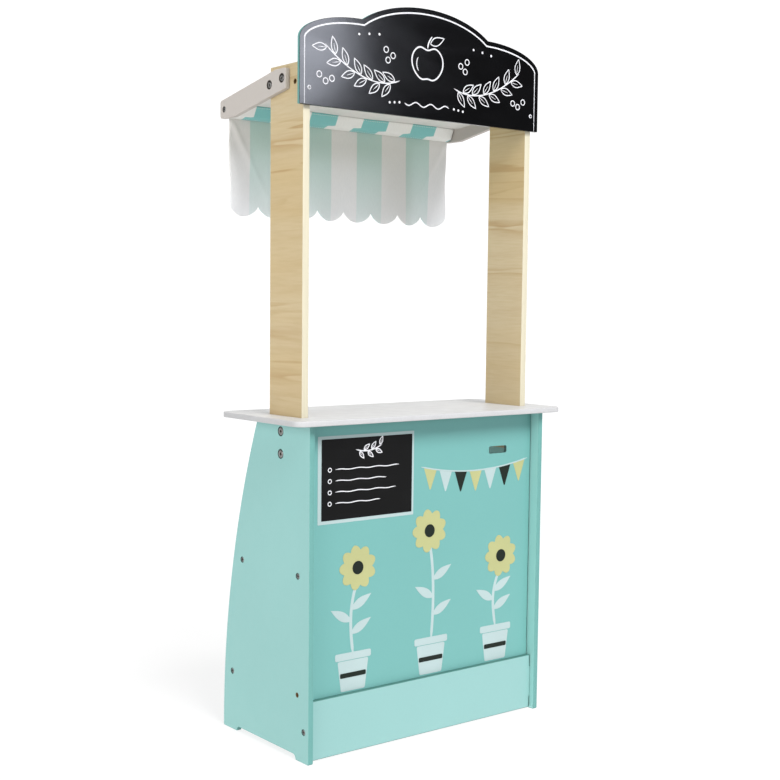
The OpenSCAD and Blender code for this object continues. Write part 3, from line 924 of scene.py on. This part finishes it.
pot_low, pot_high, pot_foot, pot_mouth = 100, 150, 24, 31
brim_low, brim_high, brim_half = 151, 163, 36
band_low, band_high, band_half = 122, 130, 26
stem_low, stem_bend, petal_r, eye_r = 158, 210, 37, 11
leaf_reach, leaf_rise, leaf_w = 40, 22, 15
for x, height, lean in [(-150, 300, 8), (14, 345, -6), (162, 285, 10)]:
    head = np.array([x + lean, height])
    stem = sweep_line((x, stem_low), (x - lean, stem_bend), (x - lean, height - 60), head - [0, 20])
    white.add_shells(line(stem, width=6.0))
    for spot, way in [(6, 1), (10, -1), (14, 1)]:
        tip = stem[spot] + [way * leaf_reach, leaf_rise]
        white.add_shells(fill(leaf(stem[spot], tip, leaf_w), 1.3 * INK))
    pot = [(x - pot_foot, pot_low), (x + pot_foot, pot_low),
           (x + pot_mouth, pot_high), (x - pot_mouth, pot_high)]
    brim = rectangle((x - brim_half, brim_low), (x + brim_half, brim_high), radius=3)
    band = rectangle((x - band_half, band_low), (x + band_half, band_high), radius=2)
    white.add_shells(fill(soften(pot, radii=3)), fill(brim, 2 * INK))
    yellow.add_shells(fill(flower(head, petal_r), 2 * INK))
    green.add_shells(fill(circle(head, eye_r), 3 * INK), fill(band, 2 * INK))
add_print("white_print", white, ink_white)
add_print("yellow_print", yellow, ink_yellow)
add_print("green_print", green, ink_green)

# %% [markdown]
# ## Awning arms and dowels
# Two white arms, bolted outside the posts, slope down to the shopkeeper's side and carry two round
# dowels. An arm is a board trimmed level on top in front and below at the rear. A dowel is a turned
# rod, so it is a profile of radius and length carried round its axis, with softened ends.

# %% Arms
arm_low, arm_high = box("left_awning_arm")
upper, outer = (box(name).mean(0)[1:] for name in ("upper_dowel", "outer_dowel"))
arm_slope, arm_w, arm_radii = np.radians(10.4), 36, (2, 6, 4.5, 4, 6, 3)
bolt_depth, bolt_height, second_bolt = 83, 1072, 118


def arm_line(depth, offset=0.0):
    """Point on a line along the arm, offset upwards from its middle line, at a depth."""
    return np.array([front_y + depth, bolt_height - (depth - bolt_depth) * np.tan(arm_slope) + offset])


half_height = arm_w / 2 / np.cos(arm_slope)
start_d, end_d = arm_low[1] - front_y, arm_high[1] - front_y
level_d = bolt_depth + (bolt_height + half_height - arm_high[2]) / np.tan(arm_slope)
under_d = bolt_depth + (bolt_height - half_height - arm_low[2]) / np.tan(arm_slope)
arm_corners = [arm_line(start_d, -half_height), arm_line(under_d, -half_height),
               (arm_high[1], arm_low[2]), arm_line(end_d, half_height),
               arm_line(level_d, half_height), (arm_low[1], arm_high[2])]
arm_bolts = [(bolt_depth, bolt_height), (second_bolt, arm_line(second_bolt)[1])]
dowel_screw = [(outer[0] - front_y, outer[1])]
arm_pits = (side_pits(arm_bolts, radius=6.9, deep=2.6, finish=PIT)
            + side_pits(dowel_screw, radius=4.6, deep=2.0, finish=PIT))
left_arm = board(soften(arm_corners, arm_radii), (arm_low[0], arm_high[0]), edge=0.9,
                 pits=arm_pits).moved(STANDING_SIDE)
arm_finishes = [arm_paint, arm_edge, arm_paint, recess_painted_shade]
add_piece("left_arm_board", left_arm, arm_finishes, ["left_awning_arm"])
add_piece("right_arm_board", left_arm.moved(OTHER_SIDE), arm_finishes,
          ["right_awning_arm"])


# %% Turned dowels
def lathe(profile, sides, shape=None, socket=0):
    """A turned form: each profile row (radius, height, share) is a ring round the axis. share blends
    the ring from round to the given shape, a function of the angle that scales the radius. socket is
    how many of the last rows of faces take the second finish, with the end face."""
    profile = np.asarray(profile, float)
    turn = np.linspace(0, 2 * np.pi, sides, endpoint=False)
    form = shape(turn) if shape else np.ones(sides)
    radius = profile[:, :1] * (1 + profile[:, 2:3] * (form - 1))
    height = np.broadcast_to(profile[:, 1:2], radius.shape)
    shell = Shell()
    rings = shell.add_points(np.stack([radius * np.cos(turn), radius * np.sin(turn), height], -1))
    turned = len(rings) - socket
    shell.add_faces(rings[:1, ::-1], smooth=False)
    shell.add_faces(quads(rings[:turned], around=True))
    shell.add_faces(quads(rings[turned - 1:], around=True), 1)
    shell.add_faces(rings[-1:], min(socket, 1), smooth=False)
    return shell


dowel_r, dowel_soft = np.ptp(box("upper_dowel")[:, 2]) / 2, 1
for name, middle in (("upper_dowel", upper), ("outer_dowel", outer)):
    start, end = box(name)[:, 0]
    rod = lathe([(dowel_r - dowel_soft, start, 0), (dowel_r, start + dowel_soft, 0),
                 (dowel_r, end - dowel_soft, 0), (dowel_r - dowel_soft, end, 0)], sides=48)
    add_piece(name + "_rod", rod.moved(STANDING_SIDE, (0, *middle)), [dowel_wood], [name])

# %% [markdown]
# ## Awning cloth
# One striped sheet makes the awning: a sleeve round the upper dowel, the roof, a bend round the outer
# dowel and a valance that ends in scallops. Cloth simulation could hang it, but a few formulas give
# the same gentle forms with full control: a path in side view, a sag for the roof, slow waves that
# grow down the valance, and creases that pull from the corners.

# %% Side view of the cloth as a path
cloth_low, cloth_high = box("awning_cloth")
cloth_t, wrap_gap, lap, lap_under, valance_back = 0.8, 0.9, 18, 1.3, 4.6
wrap_r = dowel_r + wrap_gap
downhill = unit(outer - upper)
roof_normal = np.array([-downhill[1], downhill[0]])
roof_angle = np.degrees(np.arctan2(roof_normal[1], roof_normal[0]))
seam_angle = -np.degrees(np.arccos(valance_back / wrap_r))

sleeve_start, sleeve_steps = 318, 40
cloth_path = np.vstack([
    [upper + (wrap_r - lap_under) * roof_normal + lap * downhill],
    arc(upper, (wrap_r, wrap_r), sleeve_start, roof_angle, sleeve_steps),
    arc(outer, (wrap_r, wrap_r), roof_angle, seam_angle, 24),
    [(outer[0] + valance_back, cloth_low[2])]])


def distances(path):
    """The way from a path's start to each of its points: the running sum of its steps' lengths."""
    return np.concatenate([[0], np.cumsum(np.linalg.norm(np.diff(path, axis=0), axis=1))])


roof_marks = [sleeve_steps + 1, sleeve_steps + 2]
roof_start, roof_end, seam_s, cloth_length = distances(cloth_path)[roof_marks + [-2, -1]]
print("cloth is", round(cloth_length), "mm long, its seam is at", round(seam_s))

# %% [markdown]
# ## Striped print
# The stripes are printed on one side of a thin white weave. From behind they show pale on the hanging
# valance, hardly on the roof and faintly at the foot: partly the print showing through, partly painted
# light that shines through the cloth. The inside is painted a little grey near the roof, a painted
# shade where less light comes through, and whiter towards the free edge. The stripes and threads read
# a map of the flat cloth, so they follow every fold.

# %% Print side and back side of the cloth
stripe_w, thread_pitch, fade_start = 56.2, 1.1, 30


def striped_cloth(name, white, mint, on_roof=1.0, at_foot=1.0, painted_shade_near_roof=WHITE):
    """Woven polyester with stripes, mint where the cosine of the place across the cloth is below zero.
    on_roof and at_foot are the shares of the mint that show before the cloth bends down and at its
    foot; on the back they are partly painted light that shines through the cloth. The last argument is
    a colour of painted shade, which fades out on the same way down. The bump holds threads as two
    crossed waves, and slubs as stretched noise."""
    finish = Finish(name, Specular_IOR_Level=0.2, Sheen_Weight=0.15, Sheen_Roughness=0.5)
    across = finish.node("SeparateXYZ", {0: finish.node("UVMap", uv_map="cloth")})
    along = across.node.outputs[1]
    wave = finish.math("COSINE", finish.math("MULTIPLY", across, np.pi / (stripe_w * MM)))
    edge = finish.math("MULTIPLY", finish.math("SUBTRACT", finish.noise(900, detail=2), 0.5), 0.05)
    stripe = finish.spread(finish.math("ADD", wave, edge), 0.03, -0.03)
    over_bend = finish.spread(along, roof_end * MM, seam_s * MM, on_roof, 1.0)
    fall = finish.spread(along, (seam_s + fade_start) * MM, cloth_length * MM)
    stripe = finish.math("MULTIPLY", stripe, over_bend)
    stripe = finish.math("MULTIPLY", stripe, finish.spread(fall, 0.0, 1.0, 1.0, at_foot))
    per_metre = 2 * np.pi / (thread_pitch * MM)
    weave = [finish.math("SINE", finish.math("MULTIPLY", way, per_metre)) for way in (across, along)]
    threads = finish.math("ADD", *weave)
    slubs = finish.noise(1.0, (900, 120, 120), detail=3)
    base = finish.mix(stripe, white, mint)
    # Painted shade: the colour darkens near the roof, and the darkening fades out down the valance.
    base = finish.mix(1.0, base, finish.mix(fall, painted_shade_near_roof, WHITE), "MULTIPLY")
    uneven = finish.spread(slubs, 0.35, 0.7, 0.0, 0.12)
    finish.set("Base Color", finish.mix(uneven, base, toned(white, 0.72), "MULTIPLY"))
    finish.set("Roughness", finish.spread(slubs, 0.3, 0.7, 0.78, 0.9))
    finish.bump(finish.math("ADD", threads, finish.math("MULTIPLY", slubs, 3.0)), 0.00002, 0.35)
    return finish.material


cloth_print = striped_cloth("cloth_print", srgb(232, 231, 227), srgb(129, 191, 189))
# The back: mint shows faintly, partly as painted light through the cloth, and a grey painted shade lies
# near the roof.
cloth_back = striped_cloth("cloth_back", srgb(238, 238, 240), srgb(198, 225, 222), on_roof=0.1,
                           at_foot=0.3, painted_shade_near_roof=srgb(232, 229, 222))
print("stripes of", stripe_w, "mm")

# %% The sheet as a function of two parameters
cloth_half = (cloth_high[0] - cloth_low[0]) / 2
scallops, scallop_h, scallop_steps = 8, 18, 18
scallop_w = 2 * cloth_half / scallops
columns = np.linspace(-cloth_half, cloth_half, scallops * scallop_steps + 1)
roof_sag, wave_depth, tip_curl, crease_depth = 5.5, 4.2, 1.6, 3.4
crease_across, crease_down, crease_w, waver_w, curl_from = 0.86, 0.51, 6, 12, 0.82
# Waves across the valance as (share, millimetres for one radian, start)
valance_waves = [(0.55, 29, 0.8), (0.35, 15.5, 2.3), (0.25, 61, 4.0)]


def along_path(path, s):
    """Points on a polyline at distances s from its start, by straight interpolation."""
    return np.stack([np.interp(s, distances(path), path[:, i]) for i in (0, 1)], -1)


def cloth_at(x, s):
    """The cloth at a place x across and a distance s along. Base: the side view's path. Added to it:
    a roof sag of half a sine, waves that grow with the way down the valance to the power one and a
    half, scallop tips that curl forward, a crease from each upper corner, a bell curve of the distance
    from a slanting line, that fades downwards, and side edges that waver."""
    y, z = np.moveaxis(along_path(cloth_path, s), -1, 0)
    roof = np.sin(np.pi * np.clip((s - roof_start) / (roof_end - roof_start), 0, 1))
    sag = roof_sag * roof * (1 + 0.25 * np.sin(x / 37 + 0.6)) + 1.2 * roof ** 2
    y, z = y - sag * roof_normal[0], z - sag * roof_normal[1]
    down = np.clip((s - seam_s) / (cloth_length - seam_s), 0, 1)
    waves = sum(share * np.sin(x / length + start) for share, length, start in valance_waves)
    y = y + wave_depth * down ** 1.5 * waves
    near_foot = np.clip(down - curl_from, 0, 1) / (1 - curl_from)
    y = y - tip_curl * np.cos(2 * np.pi * x / scallop_w + np.pi * scallops) * near_foot
    off_crease = (cloth_half - np.abs(x)) * crease_across - (s - seam_s) * crease_down
    fading = np.exp(-down * 2.2) * np.clip(down * 14, 0, 1)
    y = y - crease_depth * np.exp(-(off_crease / crease_w) ** 2) * fading
    waver = np.exp((np.abs(x) - cloth_half) / waver_w) * np.clip(down * 6, 0, 1)
    x = x - np.sign(x) * waver * (1.3 + 1.1 * np.sin(s / 17 + x / 60))
    return np.stack([x, y, z], -1)


print("middle of the roof:", np.round(cloth_at(0.0, (roof_start + roof_end) / 2), 1))


# %% Closed sheets with a map of the flat cloth
def two_layers(grid, thickness):
    """A closed sheet: the grid moved half the thickness along its normals and against them, and joined
    at its rim. The normal is the cross product of the steps along rows and columns."""
    normal = unit(np.cross(np.gradient(grid, axis=1), np.gradient(grid, axis=0)))
    shell = Shell()
    top = shell.add_points(grid + normal * thickness / 2)
    under = shell.add_points(grid - normal * thickness / 2)
    shell.add_faces(quads(top)[:, ::-1], 0)
    shell.add_faces(quads(under), 1)
    rim = np.concatenate([top[0], top[1:, -1], top[-1, -2::-1], top[-2:0:-1, 0]])
    shell.add_faces(quads(np.stack([rim, rim + top.size]), around=True), 0)
    return shell


def add_cloth(name, grid, places, stands_for):
    """A two-layer sheet with its places on the flat cloth, in metres, as its map."""
    shell = two_layers(grid, cloth_t)
    piece = add_piece(name, shell, [cloth_print, cloth_back], [stands_for])
    flat = np.tile(places.reshape(-1, 2), (2, 1)) * MM
    corners = np.empty(len(piece.data.loops), np.int32)
    piece.data.loops.foreach_get("vertex_index", corners)
    piece.data.uv_layers.new(name="cloth").data.foreach_set("uv", flat[corners].ravel())
    return piece


cusp_s, cusp_trim, round_share = cloth_length - scallop_h, 0.4, 0.45
marks, rows = (0, roof_start, roof_end, seam_s, cusp_s), (33, 21, 15, 55)
lengths = np.concatenate([[0]] + [np.linspace(start, end, steps + 1)[1:]
                                  for start, end, steps in zip(marks, marks[1:], rows)])
from_middle = ((columns + cloth_half) % scallop_w - scallop_w / 2) / (scallop_w / 2)
parabola = 1 - from_middle ** 2
tongue = scallop_h * ((1 - round_share) * parabola + round_share * np.sqrt(parabola)) + cusp_trim
tips = cusp_s - cusp_trim + np.linspace(0, 1, 9)[1:, None] * tongue
s_grid = np.vstack([np.broadcast_to(lengths[:, None], (len(lengths), len(columns))), tips])
s_grid[len(lengths) - 1] -= cusp_trim
x_grid = np.broadcast_to(columns, s_grid.shape)
awning = add_cloth("awning_sheet", cloth_at(x_grid, s_grid), np.stack([x_grid, s_grid], -1),
                   "awning_cloth")

# %% [markdown]
# ## Sleeve of the outer dowel
# A second strip of the same cloth, print outwards, is sewn to the roof in front of the outer dowel and
# to the valance below it, so the dowel lies in a tunnel. The strip hangs a little slack and slightly
# askew, which shows as bright patches of mint under the roof.

# %% Strip under the outer dowel
hem_s, sewn_drop, layer_gap = roof_end - 17.5, 12.8, 0.85
hem = cloth_at(0.0, hem_s)[1:] - roof_normal * layer_gap
strip_bend, strip_end = outer + [-9.0, -8.4], outer + [valance_back - 1.0, -sewn_drop]
strip_path = soften([hem, strip_bend, strip_end], radii=(0, 1.5, 0))
sewn_s = seam_s + sewn_drop + wrap_r * np.sin(np.radians(seam_angle))
strip_bend_s, strip_length = distances(strip_path)[[1, -1]]


def strip_at(x, s):
    """The strip at a place x across and a distance s from its hem. Base: its own path. Added to it: the
    roof's own waves at the hem, which fade along the strip, and a slack of half a sine."""
    y, z = np.moveaxis(along_path(strip_path, s), -1, 0)
    fade = 1 - s / strip_length
    at_hem = cloth_at(x, np.full(np.shape(x), hem_s))
    slack = np.sin(np.pi * fade) * (0.7 * np.sin(x / 23 + 1.0) + 0.5 * np.sin(x / 9.5))
    y = y + (at_hem[..., 1] - hem[0] - roof_normal[0] * layer_gap) * fade ** 2
    z = z + (at_hem[..., 2] - hem[1] - roof_normal[1] * layer_gap) * fade ** 2 + slack
    return np.stack([x, y, z], -1)


strip_s = np.linspace(strip_length, 0, 30)[:, None] * np.ones(len(columns))
strip_x = np.broadcast_to(columns, strip_s.shape)
skew_at_bend, skew_along = 15, 3
askew = skew_at_bend * np.clip((strip_s - strip_bend_s) / 2, 0, 1) + skew_along * strip_s / strip_length
strip = add_cloth("outer_sleeve", strip_at(strip_x, strip_s), np.stack([strip_x + askew, strip_s], -1),
                  "outer_dowel_sleeve")
print("strip is", round(strip_length, 1), "mm long")

# %% [markdown]
# ## Stitches
# Sewn edges are what makes cloth believable at close range. One stitch is a tiny turned form with thin
# ends, lying along the seam, and a row is the same stitch copied to evenly spaced places on the cloth.


# %% Rows of stitches along the hems
def sewing_thread(name, colour):
    """Twisted thread: its plies are a fine noise, short along the seam, as tone and as bump."""
    finish = Finish(name, Roughness=0.7, Sheen_Weight=0.3)
    plies = finish.noise(1.0, (2600, 900, 900), detail=2)
    finish.set("Base Color", finish.mix(finish.spread(plies, 0.35, 0.65), toned(colour, 0.88),
                                        toned(colour, 1.06)))
    finish.bump(plies, 0.00003, 0.5)
    return finish.material


def copies(shell, places):
    """The same shell at many places, as one shell."""
    points = np.concatenate(shell.points)
    made = Shell()
    starts = made.add_points(points + np.asarray(places)[:, None])[:, :1]
    for face, finish, smooth in zip(shell.faces, shell.finish, shell.smooth):
        made.add_faces(starts + np.asarray(face), finish, smooth)
    return made


def stitch_row(surface, s, side, pitch=4.2):
    """Stitches across a cloth at a distance s along it, raised to one side of it. The cloth's normal is
    the cross product of the X axis and a short step along the cloth."""
    x = np.arange(-cloth_half + 4, cloth_half - 4, pitch)
    at = surface(x, np.full(len(x), s))
    normal = unit(np.cross([1.0, 0.0, 0.0], surface(x, np.full(len(x), s + 0.3)) - at))
    return copies(stitch, at + side * normal * cloth_t / 2)


white_thread = sewing_thread("white_thread", srgb(226, 225, 221))
thread_r, thread_end, stitch_half, stitch_flat = 0.34, 0.12, 1.4, 0.8
stitch = lathe([(thread_end, -stitch_half, 0), (thread_r, -stitch_flat, 0),
                (thread_r, stitch_flat, 0), (thread_end, stitch_half, 0)], sides=8).moved(STANDING_SIDE)
seams = Shell()
seams.add_shells(stitch_row(strip_at, 2.5, -1), stitch_row(strip_at, strip_length - 3, -1),
                 stitch_row(cloth_at, sewn_s - 1.5, 1), stitch_row(cloth_at, hem_s + 2.5, 1),
                 stitch_row(cloth_at, roof_start + lap - 3, 1))
add_piece("stitches", seams, [white_thread])

# %% [markdown]
# ## Bolts and screws
# Connector bolts with a hexagon socket hold the posts and the arms, and small cross-head screws hold
# the shelves, the plinth, the outer dowel and the sign. A head is a turned form whose inner rings
# change from round to the socket's shape, so one lathe function makes all of them.


# %% Heads with sockets
def hexagon(turn):
    """Radius of a hexagon with corners at radius 1, as a share of that radius."""
    return np.cos(np.pi / 6) / np.cos(turn % (np.pi / 3) - np.pi / 6)


def cross(turn, arm=0.3):
    """Radius of a cross whose arms end at 1: the nearer of an arm's end and an arm's side."""
    fold = (turn + np.pi / 4) % (np.pi / 2) - np.pi / 4
    return np.minimum(1 / np.cos(fold), arm / np.maximum(np.abs(np.sin(fold)), 1e-6))


def bolt_head(radius, tall=2.2):
    """A flat head with a rounded rim and a hexagon socket."""
    socket = 0.42 * radius
    return lathe([(radius, -1.0, 0), (radius, tall - 1.0, 0), (radius - 0.35, tall - 0.3, 0),
                  (radius - 1.0, tall, 0), (socket + 0.5, tall, 0.3), (socket, tall - 0.25, 1),
                  (socket * 0.97, tall - 1.7, 1), (socket * 0.4, tall - 1.9, 1)],
                 sides=48, shape=hexagon, socket=2)


def screw_head(radius, tall):
    """A low dome with a cross-shaped socket."""
    socket = 0.62 * radius
    return lathe([(radius, tall - 1.2, 0), (radius, tall - 0.5, 0), (radius * 0.8, tall - 0.12, 0),
                  (socket * 1.08, tall, 0.5), (socket, tall - 0.1, 1), (socket * 0.8, tall - 0.9, 1),
                  (socket * 0.3, tall - 1.05, 1)], sides=64, shape=cross, socket=2)


def heads(head, places, face, sunk=0.0):
    """Copies of a head on a face of the right side, sunk into it, and mirrored on the left side."""
    both = Shell()
    for d, z in places:
        right_head = head.moved(STANDING_SIDE, (face - sunk, front_y + d, z))
        both.add_shells(right_head, right_head.moved(OTHER_SIDE))
    return both


panel_face, arm_face, post_face = -side_low[0], -arm_low[0], -post_high[0]
# The sockets take the dark brown second finish: painted shade in the hollow of each head.
bolts = heads(bolt_head(radius=6.4), post_bolts, panel_face, sunk=2.0)
bolts.add_shells(heads(bolt_head(radius=4.9), arm_bolts, arm_face, sunk=2.2))
add_piece("connector_bolts", bolts, [bolt_steel, recess_painted_shade])
nut = bolt_head(radius=6.8, tall=1.4).moved(np.diag([-1, 1, -1]))
nuts = heads(nut, post_bolts + arm_bolts, post_face)
add_piece("barrel_nuts", nuts, [bolt_steel, recess_painted_shade])
screws = heads(screw_head(radius=4.5, tall=0), screw_places, panel_face, sunk=0.5)
screws.add_shells(heads(screw_head(radius=4.1, tall=0), dowel_screw, arm_face, sunk=0.4))
add_piece("panel_screws", screws, [screw_steel, recess_painted_shade])

sign_screw_x, sign_screw_z = 234.7, 1053
sign_screws = Shell()
for x in (-sign_screw_x, sign_screw_x):
    place = (x, -sign_depths[1], sign_screw_z)
    sign_screws.add_shells(screw_head(radius=3.4, tall=1.0).moved(STANDING_FRONT, place))
add_piece("sign_screws", sign_screws, [pale_screw_finish, recess_painted_shade])

# %% [markdown]
# ## Floor and backdrop
# The stall stands on a wide light table: a white sheet that is lit from below, so that shadows on it
# stay pale. Far behind stands a backdrop that is lit from within as well, a piece of a cylinder round
# the stall. It is as white as the room looks, and gives the cloth a little light from behind.

# %% Pale floor and lit backdrop
floor_finish = Finish("pale_floor", Roughness=0.7, Specular_IOR_Level=0.1, Emission_Color=WHITE,
                      Emission_Strength=0.8)
floor_finish.set("Base Color", floor_finish.mix(floor_finish.noise(3), (0.19, 0.19, 0.19, 1),
                                                (0.21, 0.21, 0.21, 1)))
lit_white = Finish("lit_white", Base_Color=(0.0, 0.0, 0.0, 1.0), Emission_Color=WHITE,
                   Emission_Strength=room_white)


def add_stage(name, points, faces, finish):
    """A piece of the studio, given in metres, which isn't part of the stall."""
    mesh = bpy.data.meshes.new(name)
    mesh.from_pydata(points.reshape(-1, 3).tolist(), [], faces.tolist())
    mesh.materials.append(finish.material)
    made = bpy.data.objects.new(name, mesh)
    scene.collection.objects.link(made)


studio_r, studio_h, floor_sides = 15.0, 9.0, 64
floor_rim = circle((0, 0), studio_r + 1, floor_sides)
add_stage("floor", np.column_stack([floor_rim, np.zeros(floor_sides)]), np.arange(floor_sides)[None],
          floor_finish)
half_sweep, backdrop_columns = 1.1, 33
sweep = -camera_yaw + np.linspace(-half_sweep, half_sweep, backdrop_columns)
backdrop = np.stack(np.broadcast_arrays(studio_r * np.sin(sweep), studio_r * np.cos(sweep),
                                        np.array([[0.0], [studio_h]])), -1)
add_stage("backdrop", backdrop, quads(np.arange(2 * backdrop_columns).reshape(2, -1)), lit_white)
print("studio is", 2 * studio_r, "m across")
